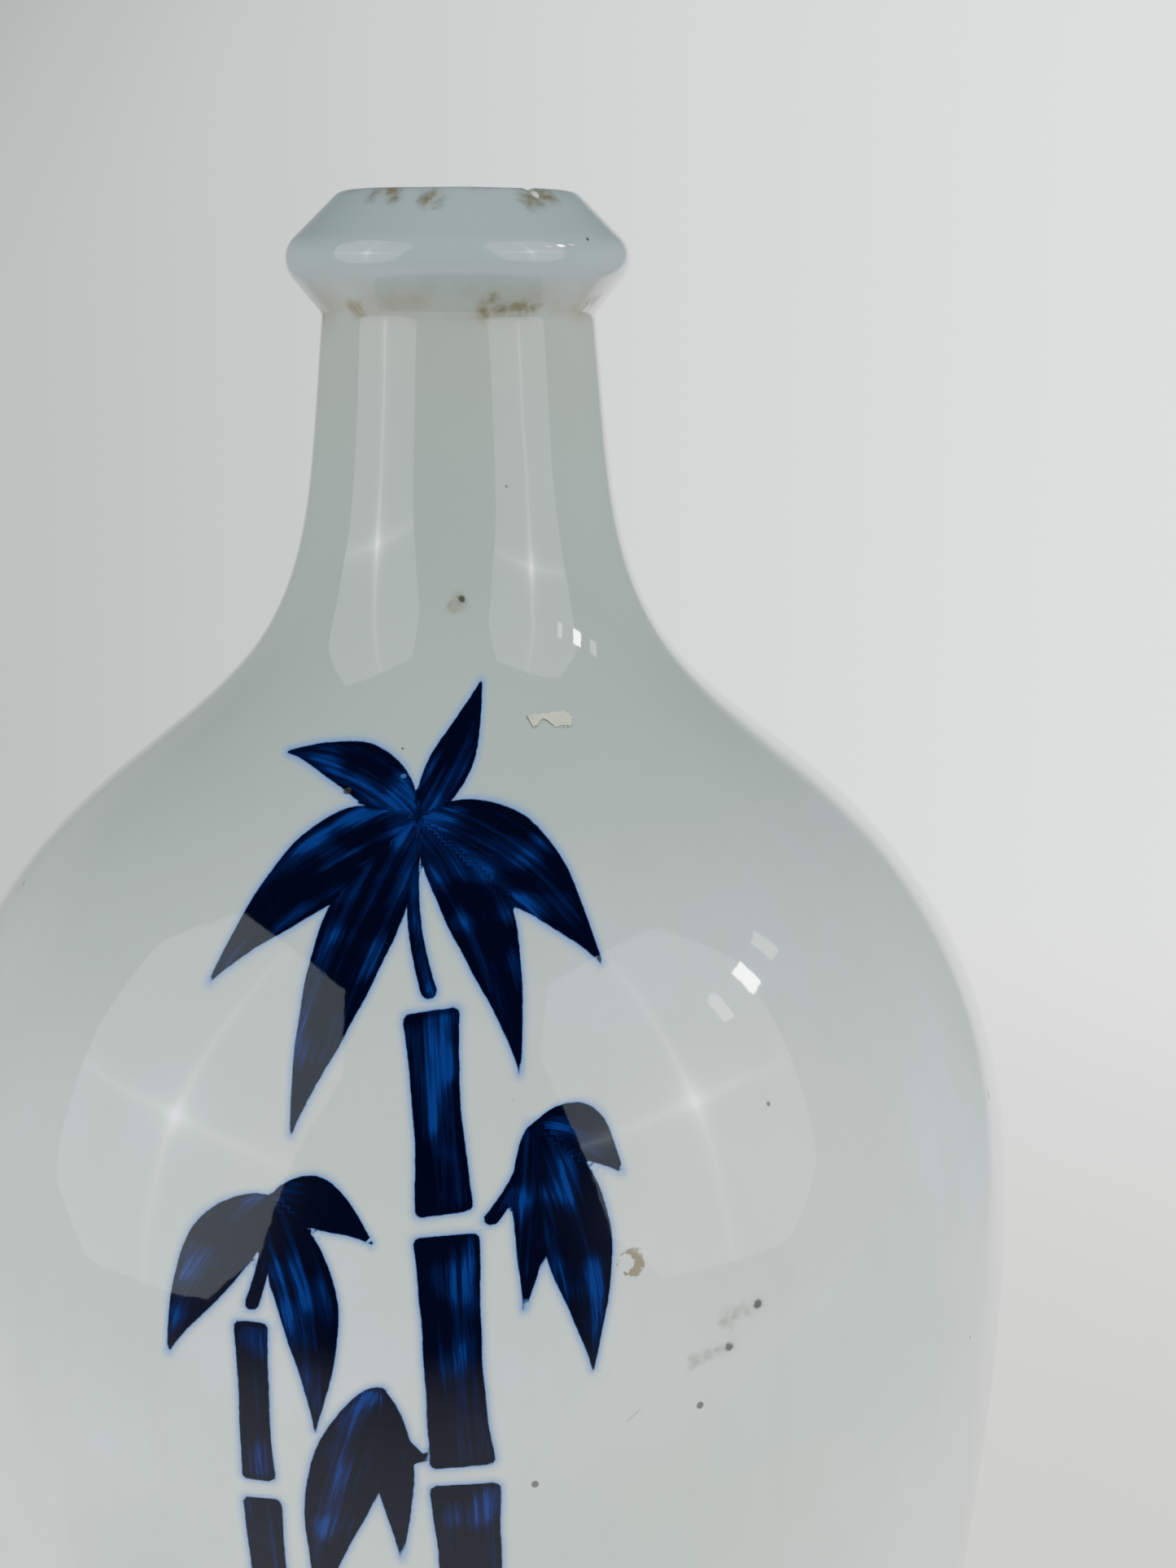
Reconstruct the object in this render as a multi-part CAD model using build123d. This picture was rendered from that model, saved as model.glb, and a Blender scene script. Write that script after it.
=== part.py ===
from build123d import *
from math import cos, pi, radians, sin
import os

# A one-sho glazed porcelain sake bottle, in millimetres. The potter throws it as four clay
# sections, lutes them together with slip, turns the foot, paints a bamboo spray in cobalt and
# glazes it inside and out. Each clay section, glaze coat and the painting is a node.
# +Z is the bottle's axis, z = 0 is the plane it stands on, and the painted side faces -Y.

# --- Clay --------------------------------------------------------------------------------
# Outside of the clay, as (radius, height), from the heel to the crease under the lip.
BODY_STATIONS = [
    (55.3, 9.0),
    (62.2, 36.0),
    (68.2, 74.0),
    (70.9, 100.0),
    (71.9, 125.0),
    (70.0, 145.2),
    (63.1, 162.8),
    (51.8, 177.5),
    (37.5, 189.5),
    (25.4, 201.6),
    (20.2, 214.0),
    (18.3, 226.0),
    (16.8, 242.2),
]
# Inside of the clay, from the edge of the floor to the bottom of the straight mouth.
CAVITY_STATIONS = [
    (46.8, 17.2),
    (49.9, 23.0),
    (56.0, 44.5),
    (61.6, 76.0),
    (64.5, 104.0),
    (65.2, 125.5),
    (63.2, 144.0),
    (56.2, 160.2),
    (44.8, 174.0),
    (31.0, 185.6),
    (19.4, 197.6),
    (14.8, 209.5),
    (12.8, 221.5),
]
TOP = 256.5
MOUTH_RADIUS = 12.0
MOUTH_BOTTOM = 234.0  # the mouth is a straight bore from here up
MOUTH_EDGE_ROUND = 1.2
FLOOR_HEIGHT = 13.8  # top of the floor at the bottle's axis
FLOOR_RISE = 0.8  # the floor rises by this much from the axis to its edge
FLOOR_EDGE = 42.0

# The lip is two bevels that meet in a rounded nose, under a narrow flat top.
LIP_NOSE = (22.4, 248.9)
LIP_NOSE_ROUND = 3.4
LIP_TOP_EDGE = 14.6
LIP_TOP_ROUND = 1.6

# The turned foot is a flat ring round a shallow recess.
FOOT_INNER = 44.0
FOOT_OUTER = 51.6
FOOT_BEVEL_RADIUS = 53.6
FOOT_BEVEL_HEIGHT = 2.6
FOOT_RECESS = 4.6

# --- Glaze -------------------------------------------------------------------------------
GLAZE = 0.5
COAT_STEPS = 24  # points along each long curve of the coat
JOIN_TOLERANCE = 0.001  # between points that are meant to meet
GLAZE_LINE_OUTSIDE = 3.4  # the foot is bare clay below these two heights
GLAZE_LINE_INSIDE = 1.6
GLAZE_TURN = TOP - 3.0  # inside the mouth, the outer coat meets the inner coat here

# --- Luted joints between the clay sections ------------------------------------------------
BELLY_JOINT = (72.0, 121.0)  # radius and height at the outside of the wall
SHOULDER_JOINT = (28.0, 198.0)
JOINT_SLOPE = 0.7  # a joint's bevel rises by this much per millimetre towards the axis
SPIGOT_RADIUS = 15.0  # the neck's end, which the lip collar is wrapped round and over
SPIGOT_TOP = 251.0
COLLAR_SEAT = 242.2  # the collar's lower edge, at the crease under the lip
COLLAR_SEAT_DROP = 1.4  # its inner edge beds this much lower

# --- Painted bamboo: x and z as seen from the front ----------------------------------------
# Internodes of the two culms: lower end, upper end, width at the ends.
INTERNODES = [
    ((11.5, 34.0), (10.6, 61.0), 8.4),
    ((10.5, 63.0), (9.6, 92.0), 8.2),
    ((9.5, 94.0), (8.4, 122.0), 7.8),
    ((8.2, 124.0), (6.4, 149.0), 7.2),
    ((6.2, 151.0), (3.8, 170.0), 6.2),
    ((-8.0, 38.0), (-10.0, 63.0), 5.2),
    ((-10.2, 65.0), (-12.0, 92.0), 5.0),
    ((-12.2, 94.0), (-13.7, 119.0), 4.6),
    ((-13.8, 121.0), (-14.4, 139.0), 4.0),
]
# Sprays: a twig as start, end, width at the start, bow to the left of the stroke, and then the
# leaves that fan out from its end, as tip, greatest width, bow to the left of the stroke.
SPRAYS = [
    (
        ((3.6, 171.0), (0.0, 187.0), 1.8, 1.0),
        [
            ((-21.5, 171.0), 7.0, -2.4),
            ((-10.5, 158.0), 7.4, -1.4),
            ((-17.0, 192.0), 4.8, -1.8),
            ((21.5, 173.5), 7.0, 2.6),
            ((13.5, 164.0), 6.0, 2.6),
            ((5.5, 200.0), 4.4, -0.8),
        ],
    ),
    (
        ((10.6, 150.0), (15.2, 159.5), 1.6, -0.8),
        [
            ((21.8, 134.0), 6.8, 1.6),
            ((24.5, 154.0), 4.4, 1.4),
            ((14.6, 141.0), 3.8, 0.4),
        ],
    ),
    (
        ((-14.4, 140.2), (-12.4, 152.0), 1.6, -0.6),
        [
            ((-24.0, 134.0), 6.4, -1.6),
            ((-7.4, 127.5), 6.2, 2.0),
            ((-1.2, 148.0), 4.4, 1.4),
        ],
    ),
    (
        ((4.0, 124.6), (-0.6, 133.0), 1.6, 0.8),
        [
            ((-7.8, 106.0), 7.0, -1.0),
            ((1.6, 113.0), 4.0, 0.4),
        ],
    ),
    (
        ((-15.4, 92.0), (-18.4, 102.0), 1.4, 0.6),
        [
            ((-22.5, 78.0), 6.0, -1.0),
            ((-17.2, 84.0), 3.6, 0.3),
        ],
    ),
    (
        ((14.5, 92.5), (16.8, 102.0), 1.4, -0.6),
        [
            ((21.8, 77.0), 6.8, 1.4),
            ((24.5, 97.0), 4.2, 1.2),
            ((15.9, 84.0), 3.2, 0.2),
        ],
    ),
]
SPRAY_KNOT = 1.1  # radius of the blot where a spray's leaves meet
INTERNODE_WAIST = 0.84  # width half way along an internode, against its ends
TWIG_TAPER = 0.35
LEAF_TIP = 0.15  # half-width where a leaf ends
LEAF_STALK = 0.45  # half-width where it starts
LEAF_SWELL = 0.7  # the smaller, the nearer to its stalk a leaf is widest
LEAF_SLIMNESS = 1.15  # the larger, the finer its ends draw in
STROKE_STEPS = 6

# --- Paper scrap ---------------------------------------------------------------------------
LABEL_THICKNESS = 0.15
LABEL_AZIMUTH = 26.7  # degrees from the middle of the painted side towards +X
LABEL_MIDDLE = (32.0, 195.2)  # radius and height
LABEL_TILT = 45.0  # the shoulder faces this far above the horizon there
# Its torn outline: right and up from its middle, as seen square on.
LABEL_OUTLINE = [
    (-2.8, -0.9),
    (-1.9, -1.3),
    (-0.8, -0.8),
    (0.3, -1.2),
    (1.4, -0.7),
    (2.6, -1.0),
    (2.8, 1.2),
    (0.4, 1.4),
    (-2.7, 1.3),
    (-2.8, -0.9),
]

REACH = 150.0  # beyond the bottle in any direction, for cutting shapes
LABEL_REACH = 4.0  # the same, for the paper scrap
CLEARANCE = 1.0  # how far a cutting shape runs past the clay it cuts


# --- Cross-sections: x is the radius, y the height -------------------------------------------
def half_plane(low=-REACH, high=2 * REACH, inner=0.0, outer=REACH):
    """A rectangle of the cross-section between two heights and two radii."""
    return make_face(
        Polyline((inner, low), (outer, low), (outer, high), (inner, high), (inner, low))
    )


def clay_outside():
    heel, crease = BODY_STATIONS[0], BODY_STATIONS[-1]
    underside = Polyline(
        (0, FOOT_RECESS),
        (FOOT_INNER, FOOT_RECESS),
        (FOOT_INNER, 0),
        (FOOT_OUTER, 0),
        (FOOT_BEVEL_RADIUS, FOOT_BEVEL_HEIGHT),
        heel,
    )
    body = Spline(*BODY_STATIONS)
    top = FilletPolyline(
        crease,
        LIP_NOSE,
        (LIP_TOP_EDGE, TOP),
        (MOUTH_RADIUS / 2, TOP),
        radius=[LIP_NOSE_ROUND, LIP_TOP_ROUND],
    )
    closing = Polyline((MOUTH_RADIUS / 2, TOP), (0, TOP), (0, FOOT_RECESS))
    return make_face([*underside.edges(), *body.edges(), *top.edges(), *closing.edges()])


def clay_cavity():
    floor_edge = (FLOOR_EDGE, FLOOR_HEIGHT + FLOOR_RISE)
    mouth_bottom = (MOUTH_RADIUS, MOUTH_BOTTOM)
    floor = Line((0, FLOOR_HEIGHT), floor_edge)
    wall = Spline(floor_edge, *CAVITY_STATIONS, mouth_bottom)
    mouth = Polyline(mouth_bottom, (MOUTH_RADIUS, TOP + CLEARANCE), (0, TOP + CLEARANCE), (0, FLOOR_HEIGHT))
    return make_face([*floor.edges(), *wall.edges(), *mouth.edges()])


def clay_section():
    """The whole clay wall, with the mouth's edge rounded over."""
    wall = clay_outside() - clay_cavity()
    mouth_edge = wall.vertices().filter_by(lambda v: v.Y > TOP - JOIN_TOLERANCE).sort_by(Axis.X)[0]
    return fillet(mouth_edge, MOUTH_EDGE_ROUND)


def grown(section, distance):
    """The section grown all round, with its offset curves drawn as plain splines."""
    edges = []
    for edge in offset(section, distance).edges():
        if edge.geom_type in (GeomType.OFFSET, GeomType.BSPLINE):
            edge = Spline(*[edge @ (step / COAT_STEPS) for step in range(COAT_STEPS + 1)]).edge()
        edges.append(edge)
    return Sketch() + Face(Wire.combine(edges, tol=JOIN_TOLERANCE)[0])


def glaze_section(bottle):
    """A coat all round the bottle's clay, bare at the foot."""
    coat = (grown(bottle, GLAZE) - bottle) & half_plane()
    bare_outside = half_plane(high=GLAZE_LINE_OUTSIDE, inner=(FOOT_INNER + FOOT_OUTER) / 2)
    bare_inside = half_plane(high=GLAZE_LINE_INSIDE)
    return coat - bare_outside - bare_inside


def below_joint(joint, slope=JOINT_SLOPE):
    """Everything below a bevelled joint line, which rises towards the axis."""
    radius, height = joint
    return make_face(
        Polyline(
            (0, -CLEARANCE),
            (REACH, -CLEARANCE),
            (REACH, height - slope * (REACH - radius)),
            (0, height + slope * radius),
            (0, -CLEARANCE),
        )
    )


def collar_zone():
    """The part of the wall that the lip collar takes, round and over the neck's end."""
    return make_face(
        Polyline(
            (SPIGOT_RADIUS, COLLAR_SEAT - COLLAR_SEAT_DROP),
            (BODY_STATIONS[-1][0], COLLAR_SEAT),
            (REACH, COLLAR_SEAT),
            (REACH, REACH * 2),
            (0, REACH * 2),
            (0, SPIGOT_TOP),
            (SPIGOT_RADIUS, SPIGOT_TOP),
            (SPIGOT_RADIUS, COLLAR_SEAT - COLLAR_SEAT_DROP),
        )
    )


def turned(section):
    """Turn a cross-section about the bottle's axis."""
    return revolve(Plane.XZ * section, Axis.Z)


# --- Brush strokes: x and z as seen from the front -------------------------------------------
def stroke(start, end, bow, half_width):
    """A stroke whose centre line bows to its left; half_width gives its width along it."""
    along = Vector(*end) - Vector(*start)
    across = along.rotate(Axis.Z, 90).normalized()
    left, right = [], []
    for step in range(STROKE_STEPS + 1):
        t = step / STROKE_STEPS
        middle = Vector(*start) + along * t + across * (4 * bow * t * (1 - t))
        heading = (along + across * (4 * bow * (1 - 2 * t))).normalized()
        side = heading.rotate(Axis.Z, 90) * half_width(t)
        left.append(middle + side)
        right.append(middle - side)
    return make_face(
        [
            *Spline(*left).edges(),
            *Line(left[-1], right[-1]).edges(),
            *Spline(*reversed(right)).edges(),
            *Line(right[0], left[0]).edges(),
        ]
    )


def leaf(base, tip, width, bow):
    def half_width(t):
        blade = width / 2 * sin(pi * t**LEAF_SWELL) ** LEAF_SLIMNESS if 0 < t < 1 else 0
        return blade + LEAF_STALK * (1 - t) + LEAF_TIP * t

    return stroke(base, tip, bow, half_width)


def twig(start, end, width, bow):
    return stroke(start, end, bow, lambda t: width / 2 * (1 - TWIG_TAPER * t))


def internode(low, high, width):
    def half_width(t):
        return width / 2 * (INTERNODE_WAIST + (1 - INTERNODE_WAIST) * (2 * t - 1) ** 2)

    return stroke(low, high, 0, half_width)


def spray(stem, leaves):
    knot = stem[1]
    blades = [leaf(knot, *blade) for blade in leaves]
    return twig(*stem) + Pos(*knot) * Circle(SPRAY_KNOT) + blades


def paint(coat):
    """Divide the outer coat into the bare glaze and the solids that the cobalt has stained."""
    shapes = [internode(*item) for item in INTERNODES] + [spray(*item) for item in SPRAYS]
    stained = []
    for shape in shapes:
        brush = extrude(Plane.XZ * shape, REACH)
        stained += (coat & brush).solids()
        coat = coat - brush
    return coat, stained


def label_scrap(bottle):
    """A torn scrap of paper, following the glaze of the shoulder."""
    skin = grown(bottle, GLAZE + LABEL_THICKNESS) - grown(bottle, GLAZE)
    radius, height = LABEL_MIDDLE
    nearby = half_plane(height - LABEL_REACH, height + LABEL_REACH, radius - LABEL_REACH)
    azimuth = radians(LABEL_AZIMUTH)
    tilt = radians(LABEL_TILT)
    outward = Vector(sin(azimuth) * cos(tilt), -cos(azimuth) * cos(tilt), sin(tilt))
    rightward = Vector(cos(azimuth), sin(azimuth), 0)
    middle = Vector(radius * sin(azimuth), -radius * cos(azimuth), height)
    outline = make_face(Polyline(*LABEL_OUTLINE))
    cutter = extrude(Plane(middle, rightward, outward) * outline, LABEL_REACH, both=True)
    return turned(skin & nearby) & cutter


# --- Build and write the nodes ----------------------------------------------------------------
clay = clay_section()
bottle = clay + mirror(clay, Plane.YZ)
glaze = glaze_section(bottle)
inside = clay_cavity() & half_plane(high=GLAZE_TURN)
recess = half_plane(high=FOOT_RECESS, outer=FOOT_INNER)
below_belly = below_joint(BELLY_JOINT)
below_shoulder = below_joint(SHOULDER_JOINT)
collar = collar_zone()
outer_glaze, cobalt = paint(turned(glaze - inside - recess))

nodes = {
    "lower_body": turned(clay & below_belly),
    "upper_body": turned((clay & below_shoulder) - below_belly),
    "neck": turned(clay - below_shoulder - collar),
    "lip_collar": turned(clay & collar),
    "inner_glaze": turned(glaze & inside),
    "base_glaze": turned(glaze & recess),
    "outer_glaze": outer_glaze,
    "cobalt_painting": Compound(children=cobalt),
    "label_scrap": label_scrap(bottle),
}
os.makedirs("parts", exist_ok=True)
for name, shape in nodes.items():
    shape.label = name
    export_step(shape, f"parts/{name}.step")
    print(name, len(shape.solids()), "solids", round(shape.volume / 1000, 2), "cm3")
held = turned(clay_cavity() - glaze & half_plane(high=TOP))
print("holds", round(held.volume / 1000), "ml to the brim")
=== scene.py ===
import math

import bpy
import numpy as np
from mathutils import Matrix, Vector


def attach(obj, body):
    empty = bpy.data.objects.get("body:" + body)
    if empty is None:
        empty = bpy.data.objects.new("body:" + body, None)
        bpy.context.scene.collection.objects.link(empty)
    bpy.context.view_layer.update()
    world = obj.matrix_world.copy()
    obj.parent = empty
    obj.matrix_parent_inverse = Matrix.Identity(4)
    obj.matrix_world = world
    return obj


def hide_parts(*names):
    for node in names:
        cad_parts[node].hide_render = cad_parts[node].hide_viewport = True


# The looks of a glazed porcelain sake bottle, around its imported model. Lengths are in
# millimetres and angles in degrees, until a mesh, a light or the camera is made in metres.
# Azimuths run round the bottle from the painted side, -Y, towards +X.
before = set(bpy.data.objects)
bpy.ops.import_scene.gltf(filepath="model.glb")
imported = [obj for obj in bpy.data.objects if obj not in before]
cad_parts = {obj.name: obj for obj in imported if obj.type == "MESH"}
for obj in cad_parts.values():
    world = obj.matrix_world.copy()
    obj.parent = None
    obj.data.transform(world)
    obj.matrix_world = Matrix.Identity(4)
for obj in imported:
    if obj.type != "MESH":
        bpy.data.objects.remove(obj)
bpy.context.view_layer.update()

MM = 0.001
# Draws the surface's unevenness, the tremble of the brush and the paper's torn edge
RNG = np.random.default_rng(27)

# --- Camera, lights and floor ----------------------------------------------------------------
CAMERA_REACH = 280.0  # from the bottle's axis
CAMERA_AZIMUTH = 7.5
CAMERA_HEIGHT = 244.9
CAMERA_HEADING = 4.2  # left of +Y
CAMERA_PITCH = 12.8  # below the horizon
CAMERA_LENS = 49.92
CAMERA_SENSOR = 36.0

# Lights: azimuth, distance from the axis, height of the middle, width, height, power, colour
SOFTBOXES = [
    (-54.5, 700.0, 400.0, 715.0, 960.0, 7.6, (0.89, 0.985, 1.0)),
    (56.0, 700.0, 480.0, 690.0, 960.0, 7.0, (0.89, 0.985, 1.0)),
]
SOFTBOX_LEAN = 27.0  # they lean over towards the bottle
WINDOWS = [
    (87.0, 900.0, 850.0, 78.0, 120.0, 4.0, (0.95, 0.98, 1.0)),
    (98.5, 900.0, 850.0, 70.0, 120.0, 0.20, (0.95, 0.98, 1.0)),
    (75.0, 900.0, 850.0, 50.0, 120.0, 0.22, (0.95, 0.98, 1.0)),
]
CLOTH = 0.80  # brightness of a softbox's plain cloth
# What shows through the cloth, as (extra brightness, reach as a share of its width)
LAMP = (8.0, 0.026)
LAMP_GLOW = (0.25, 0.20)
ARMS = (2.2, 0.018)
ARM_REACH = 0.38
CORNER_CUT = 0.80  # a softbox's corners are cut off beyond this share of its outline

FLOOR_HALF = 600.0
FLOOR_FADE = (130.0, 590.0)  # distances over which the floor fades into the backdrop
FLOOR_GLOW = 0.80  # a lit table, as bright under the bottle as the room is behind it
# Brightness of the studio round the bottle
ROOM_FRONT = 0.20  # straight in front, as a share of the sides
ROOM_SIDES = 0.46
ROOM_OVERHEAD = 0.12  # as a share of what is lower down
ROOM_BEHIND = (0.85, 2.6)  # left and right ends of the backdrop
# Where those change, as the direction's share to the right, to the back or upwards
FRONT_EDGE = (-0.94, -0.80)
BEHIND_TURN = (-0.40, 0.30)
BACKDROP_EDGE = (0.84, 0.93)
BACKDROP_WIDENS = (-0.60, 0.20, 0.18, -0.06)  # it reaches further round, the lower it is
CEILING_EDGE = (0.10, 0.48)
FLOOR_TINT_EDGE = (-0.50, -0.20)
WARM_TINT = (1.0, 0.985, 0.955, 1.0)
COOL_TINT = (0.95, 0.995, 1.0, 1.0)


def srgb(red, green, blue):
    """A display colour, 0 to 255, as scene-linear RGBA."""
    scaled = [channel / 255 for channel in (red, green, blue)]
    linear = [c / 12.92 if c <= 0.04045 else ((c + 0.055) / 1.055) ** 2.4 for c in scaled]
    return (*linear, 1.0)


def from_axis(azimuth, radius, height):
    """A point in metres, from an azimuth, a distance from the axis and a height."""
    angle = math.radians(azimuth)
    return Vector((radius * math.sin(angle), -radius * math.cos(angle), height)) * MM


def link(obj):
    bpy.context.scene.collection.objects.link(obj)
    return obj


def add_camera():
    data = bpy.data.cameras.new("camera")
    data.lens = CAMERA_LENS
    data.sensor_width = CAMERA_SENSOR
    camera = link(bpy.data.objects.new("camera", data))
    camera.location = from_axis(CAMERA_AZIMUTH, CAMERA_REACH, CAMERA_HEIGHT)
    heading, pitch = math.radians(CAMERA_HEADING), math.radians(CAMERA_PITCH)
    flat = math.cos(pitch)
    ahead = Vector((-math.sin(heading) * flat, math.cos(heading) * flat, -math.sin(pitch)))
    camera.rotation_euler = ahead.to_track_quat("-Z", "Y").to_euler()
    bpy.context.scene.camera = camera


def add_panel(name, azimuth, distance, height, width, tall, power, colour, lean=0.0):
    """A panel of light that faces the bottle's axis and leans over towards it."""
    data = bpy.data.lights.new(name, "AREA")
    data.shape = "RECTANGLE"
    data.size = width * MM
    data.size_y = tall * MM
    data.energy = power
    data.color = colour
    light = link(bpy.data.objects.new(name, data))
    light.location = from_axis(azimuth, distance, height)
    drop = distance * math.tan(math.radians(lean))
    inward = from_axis(azimuth, -distance, -drop)
    light.rotation_euler = inward.to_track_quat("-Z", "Y").to_euler()
    light.visible_camera = False
    return data


def add_softbox(name, *place):
    """A panel whose cloth shows its lamp and arms, and whose corners are cut off."""
    data = add_panel(name, *place, lean=SOFTBOX_LEAN)
    data.use_nodes = True
    tree = data.node_tree

    def maths(operation, a, b=0.0):
        node = tree.nodes.new("ShaderNodeMath")
        node.operation = operation
        for socket, value in zip(node.inputs, (a, b)):
            if isinstance(value, float):
                socket.default_value = value
            else:
                tree.links.new(value, socket)
        return node.outputs[0]

    def fall_off(distance, reach):
        return maths("POWER", math.e, maths("DIVIDE", distance, -reach))

    split = tree.nodes.new("ShaderNodeSeparateXYZ")
    place = tree.nodes.new("ShaderNodeNewGeometry").outputs["Parametric"]
    tree.links.new(place, split.inputs[0])
    across, up = (maths("ABSOLUTE", maths("SUBTRACT", part, 0.5)) for part in split.outputs[:2])
    away = maths("SQRT", maths("ADD", maths("POWER", across, 2.0), maths("POWER", up, 2.0)))
    arms = maths("MULTIPLY", fall_off(maths("MINIMUM", across, up), ARMS[1]), ARMS[0])
    glow = maths("MULTIPLY", arms, fall_off(away, ARM_REACH))
    for extra, reach in (LAMP, LAMP_GLOW):
        glow = maths("ADD", glow, maths("MULTIPLY", fall_off(away, reach), extra))
    whole = maths("LESS_THAN", maths("ADD", across, up), CORNER_CUT)
    strength = maths("MULTIPLY", maths("ADD", glow, CLOTH), whole)
    tree.links.new(strength, tree.nodes["Emission"].inputs["Strength"])


# --- Material nodes --------------------------------------------------------------------------
class Finish:
    """One material, and short ways to write its nodes. Every value is a socket or a number."""

    def __init__(self, name):
        self.material = bpy.data.materials.new(name)
        self.material.use_nodes = True
        self.tree = self.material.node_tree
        self.shader = self.tree.nodes["Principled BSDF"]
        place = self.add("ShaderNodeTexCoord").outputs["Object"]
        self.place = self.vector("SCALE", place, scale=1 / MM)  # in millimetres

    def add(self, kind, inputs=None, **settings):
        """A new node. Inputs go by name, or by number where the node has several of one name."""
        node = self.tree.nodes.new(kind)
        for name, value in settings.items():
            setattr(node, name, value)
        for name, value in (inputs or {}).items():
            self.put(node.inputs[name], value)
        return node

    def put(self, socket, value):
        if isinstance(value, bpy.types.NodeSocket):
            self.tree.links.new(value, socket)
        else:
            socket.default_value = value

    def set(self, **values):
        """Set the shader's own sockets: base_color is Base Color, and so on."""
        for name, value in values.items():
            title = name.replace("_", " ").title().replace("Ior", "IOR")
            self.put(self.shader.inputs[title], value)

    def math(self, operation, a, b=0.0):
        return self.add("ShaderNodeMath", {0: a, 1: b}, operation=operation).outputs[0]

    def vector(self, operation, a, b=(0.0, 0.0, 0.0), scale=1.0):
        inputs = {0: a, 3: scale} if operation == "SCALE" else {0: a, 1: b}
        node = self.add("ShaderNodeVectorMath", inputs, operation=operation)
        as_number = operation in ("DISTANCE", "LENGTH", "DOT_PRODUCT")
        return node.outputs["Value" if as_number else "Vector"]

    def noise(self, size, detail=2.0, roughness=0.5, distortion=0.0, at=None):
        """Noise from 0 to 1, with features of about this size in mm."""
        node = self.add(
            "ShaderNodeTexNoise",
            {
                "Vector": self.place if at is None else at,
                "Scale": 1 / size,
                "Detail": detail,
                "Roughness": roughness,
                "Distortion": distortion,
            },
        )
        return node.outputs["Fac"]

    def ramp(self, value, low, high, start=0.0, end=1.0):
        """A smooth change from start to end, as value goes from low to high."""
        inputs = {"Value": value, "From Min": low, "From Max": high, "To Min": start, "To Max": end}
        return self.add("ShaderNodeMapRange", inputs, interpolation_type="SMOOTHSTEP").outputs[0]

    def mix(self, share, a, b):
        node = self.add("ShaderNodeMix", data_type="RGBA")
        self.put(node.inputs[0], share)
        self.put(node.inputs[6], a)
        self.put(node.inputs[7], b)
        return node.outputs[2]

    def attribute(self, name):
        return self.add("ShaderNodeAttribute", attribute_name=name).outputs["Fac"]

    def add_up(self, *values):
        total = values[0]
        for value in values[1:]:
            total = self.math("ADD", total, value)
        return total

    def most(self, *values):
        top = values[0]
        for value in values[1:]:
            top = self.math("MAXIMUM", top, value)
        return top

    def times(self, *values):
        product = values[0]
        for value in values[1:]:
            product = self.math("MULTIPLY", product, value)
        return product

    def spots(self, places, soft, warp=0.0, warp_size=1.0):
        """A mask, 1 inside each (azimuth, radius, height, size) spot, with ragged edges."""
        at = self.place
        if warp:
            node = self.add("ShaderNodeTexNoise", {"Vector": self.place, "Scale": 1 / warp_size})
            shift = self.vector("SUBTRACT", node.outputs["Color"], (0.5, 0.5, 0.5))
            at = self.vector("ADD", at, self.vector("SCALE", shift, scale=warp))
        nearest = None
        for azimuth, radius, height, size in places:
            middle = from_axis(azimuth, radius, height) / MM
            gap = self.math("SUBTRACT", self.vector("DISTANCE", at, tuple(middle)), size)
            nearest = gap if nearest is None else self.math("MINIMUM", nearest, gap)
        return self.ramp(nearest, soft / 2, -soft / 2)

    def relief(self, height):
        """Bump from a height in mm."""
        node = self.add("ShaderNodeBump", {"Height": height, "Distance": MM})
        self.put(self.shader.inputs["Normal"], node.outputs["Normal"])


def add_floor():
    half = FLOOR_HALF * MM
    mesh = bpy.data.meshes.new("floor")
    corners = [(-half, -half, 0), (half, -half, 0), (half, half, 0), (-half, half, 0)]
    mesh.from_pydata(corners, [], [(0, 1, 2, 3)])
    floor = link(bpy.data.objects.new("floor", mesh))
    paint = Finish("floor_cloth")
    cream = paint.mix(paint.noise(60, detail=4), srgb(240, 236, 229), srgb(232, 229, 224))
    away = paint.vector("LENGTH", paint.place)
    paint.set(base_color=cream, roughness=0.75, emission_color=srgb(255, 251, 244))
    paint.set(emission_strength=FLOOR_GLOW)
    fade = paint.ramp(away, *FLOOR_FADE)
    clear = paint.add("ShaderNodeBsdfTransparent").outputs[0]
    blend = paint.add("ShaderNodeMixShader", {0: fade, 1: paint.shader.outputs[0], 2: clear})
    paint.put(paint.tree.nodes["Material Output"].inputs["Surface"], blend.outputs[0])
    mesh.materials.append(paint.material)


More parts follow.
